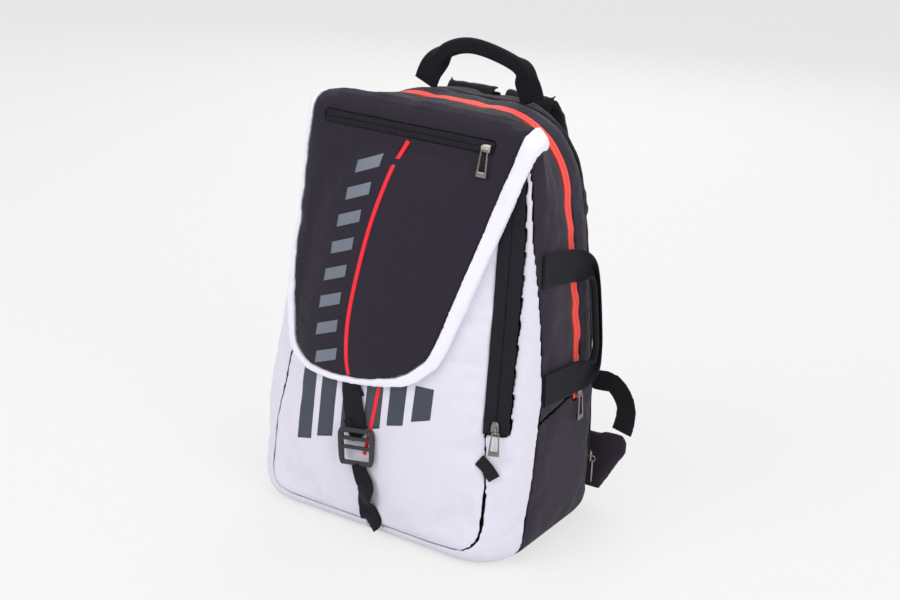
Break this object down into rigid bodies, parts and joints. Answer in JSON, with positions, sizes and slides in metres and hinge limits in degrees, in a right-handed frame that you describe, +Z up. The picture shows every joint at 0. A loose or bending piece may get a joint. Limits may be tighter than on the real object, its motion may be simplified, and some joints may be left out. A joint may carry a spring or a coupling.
{
  "type": "racket backpack",
  "caption": "Upright racket backpack with a buckled front flap, zipped compartments, grab handles and padded shoulder straps.",
  "frame": {"origin": "middle of the flat base, on the floor", "axes": "+Z up, -Y is the front with the flap, +X is the bag's right seen from the front"},
  "size_m": [0.421, 0.276, 0.5229],
  "materials": {
    "charcoal_fabric": "matte woven polyester, charcoal with a purple tint",
    "side_fabric": "matte woven polyester, charcoal with a purple tint",
    "white_fabric": "smooth coated fabric, white with a lavender tint",
    "binding_fabric": "soft padded binding, white",
    "red_zip": "red-orange zip tape with a coil down its middle",
    "webbing": "ribbed black webbing and zip tape",
    "mesh": "black air mesh over foam",
    "plastic": "moulded acetal, fine grain",
    "metal": "gunmetal plated zinc",
    "board": "stiff polypropylene sheet"
  },
  "bodies": {
    "bag": {"base_panel": "side_fabric", "back_panel": "mesh", "rear_zip_tape": "webbing", "rear_gusset": "side_fabric", "main_zip_tape": "red_zip", "side_panel_right": "side_fabric", "side_panel_left": "side_fabric", "middle_gusset": "side_fabric", "upper_gusset": "side_fabric", "corner_zip_tape": "webbing", "front_panel": "white_fabric", "front_gusset_right": "white_fabric", "front_gusset_left": "white_fabric", "base_board": "board", "racket_divider": "mesh", "pocket_wall": "mesh", "corner_tab": "webbing", "strap_yoke": "webbing", "back_pad_right": "mesh", "wing_right": "side_fabric", "lower_webbing_right": "webbing", "strap_root_right": "mesh", "back_pad_left": "mesh", "wing_left": "side_fabric", "lower_webbing_left": "webbing", "strap_root_left": "mesh"},
    "flap": {"flap_panel": "charcoal_fabric", "flap_lining": "mesh", "flap_binding": "binding_fabric", "flap_zip_tape": "webbing"},
    "flap_slider": {"flap_slider": "metal"},
    "flap_pull": {"flap_pull": "metal"},
    "corner_slider": {"corner_slider": "metal"},
    "corner_pull": {"corner_pull": "metal"},
    "main_slider": {"main_slider": "metal"},
    "main_pull": {"main_pull": "metal"},
    "rear_slider": {"rear_slider": "metal"},
    "rear_pull": {"rear_pull": "metal"},
    "flap_strap": {"flap_strap": "webbing"},
    "buckle": {"buckle": "plastic"},
    "lower_strap": {"lower_strap": "webbing"},
    "top_handle": {"top_handle": "webbing"},
    "side_handle": {"side_handle": "webbing"},
    "shoulder_strap_right": {"shoulder_strap_right": "mesh"},
    "lock_right": {"ladder_lock_right": "plastic", "strap_tail_right": "webbing"},
    "shoulder_strap_left": {"shoulder_strap_left": "mesh"},
    "lock_left": {"ladder_lock_left": "plastic", "strap_tail_left": "webbing"}
  },
  "joints": [
    {"name": "flap_hinge", "type": "hinge", "parent": "bag", "child": "flap", "pos_m": [0, -0.02, 0.4725], "axis": [-1, 0, 0], "range_deg": [0, 190]},
    {"name": "flap_zip_slide", "type": "slide", "parent": "flap", "child": "flap_slider", "axis": [-1, 0, 0], "range_m": [0, 0.2]},
    {"name": "flap_pull_swing", "type": "hinge", "parent": "flap_slider", "child": "flap_pull", "pos_m": [0.088, -0.05315, 0.44493], "axis": [-1, 0, 0], "range_deg": [0, 160]},
    {"name": "corner_zip_slide", "type": "slide", "parent": "bag", "child": "corner_slider", "axis": [-0.0758, 0.1805, 0.9806], "range_m": [0, 0.18]},
    {"name": "corner_pull_swing", "type": "hinge", "parent": "corner_slider", "child": "corner_pull", "pos_m": [0.14403, -0.09672, 0.163], "axis": [-0.9448, -0.3275, -0.0128], "range_deg": [0, 160]},
    {"name": "main_zip_slide", "type": "hinge", "parent": "bag", "child": "main_slider", "pos_m": [-1.5075, 0.033, 0.06], "axis": [0, -1, 0], "range_deg": [0, 7.5]},
    {"name": "main_pull_swing", "type": "hinge", "parent": "main_slider", "child": "main_pull", "pos_m": [0.17424, 0.033, 0.16632], "axis": [0, -1, 0], "range_deg": [0, 110]},
    {"name": "rear_zip_slide", "type": "hinge", "parent": "bag", "child": "rear_slider", "pos_m": [-1.5075, 0.077, 0.06], "axis": [0, -1, 0], "range_deg": [0, 10.7]},
    {"name": "rear_pull_swing", "type": "hinge", "parent": "rear_slider", "child": "rear_pull", "pos_m": [0.17194, 0.07924, 0.07203], "axis": [0.4401, -0.8979, 0], "range_deg": [0, 45]},
    {"name": "flap_strap_swing", "type": "hinge", "parent": "flap", "child": "flap_strap", "pos_m": [-0.02878, -0.11613, 0.1712], "axis": [-0.9648, 0, -0.2628], "range_deg": [0, 70]},
    {"name": "buckle_swing", "type": "hinge", "parent": "flap_strap", "child": "buckle", "pos_m": [-0.01653, -0.12306, 0.12598], "axis": [-0.9648, -0.0217, -0.2622], "range_deg": [0, 60]},
    {"name": "lower_strap_swing", "type": "hinge", "parent": "bag", "child": "lower_strap", "pos_m": [0.01246, -0.1238, 0.02], "axis": [0.9648, 0, 0.2628], "range_deg": [0, 90]},
    {"name": "top_handle_swing", "type": "hinge", "parent": "bag", "child": "top_handle", "pos_m": [0, 0.074, 0.4649], "axis": [1, 0, 0], "range_deg": [-30, 70]},
    {"name": "side_handle_swing", "type": "hinge", "parent": "bag", "child": "side_handle", "pos_m": [0.158, -0.041, 0.322], "axis": [0.0718, -0.0227, -0.9972], "range_deg": [0, 110]},
    {"name": "shoulder_strap_right_swing", "type": "hinge", "parent": "bag", "child": "shoulder_strap_right", "pos_m": [0.0385, 0.12861, 0.46394], "axis": [1, 0, 0], "range_deg": [0, 60]},
    {"name": "lock_right_tilt", "type": "hinge", "parent": "shoulder_strap_right", "child": "lock_right", "pos_m": [0.088, 0.1293, 0.2047], "axis": [1, 0, 0], "range_deg": [0, 60]},
    {"name": "shoulder_strap_left_swing", "type": "hinge", "parent": "bag", "child": "shoulder_strap_left", "pos_m": [-0.0385, 0.12861, 0.46394], "axis": [1, 0, 0], "range_deg": [0, 60]},
    {"name": "lock_left_tilt", "type": "hinge", "parent": "shoulder_strap_left", "child": "lock_left", "pos_m": [-0.088, 0.1293, 0.2047], "axis": [1, 0, 0], "range_deg": [0, 60]}
  ]
}
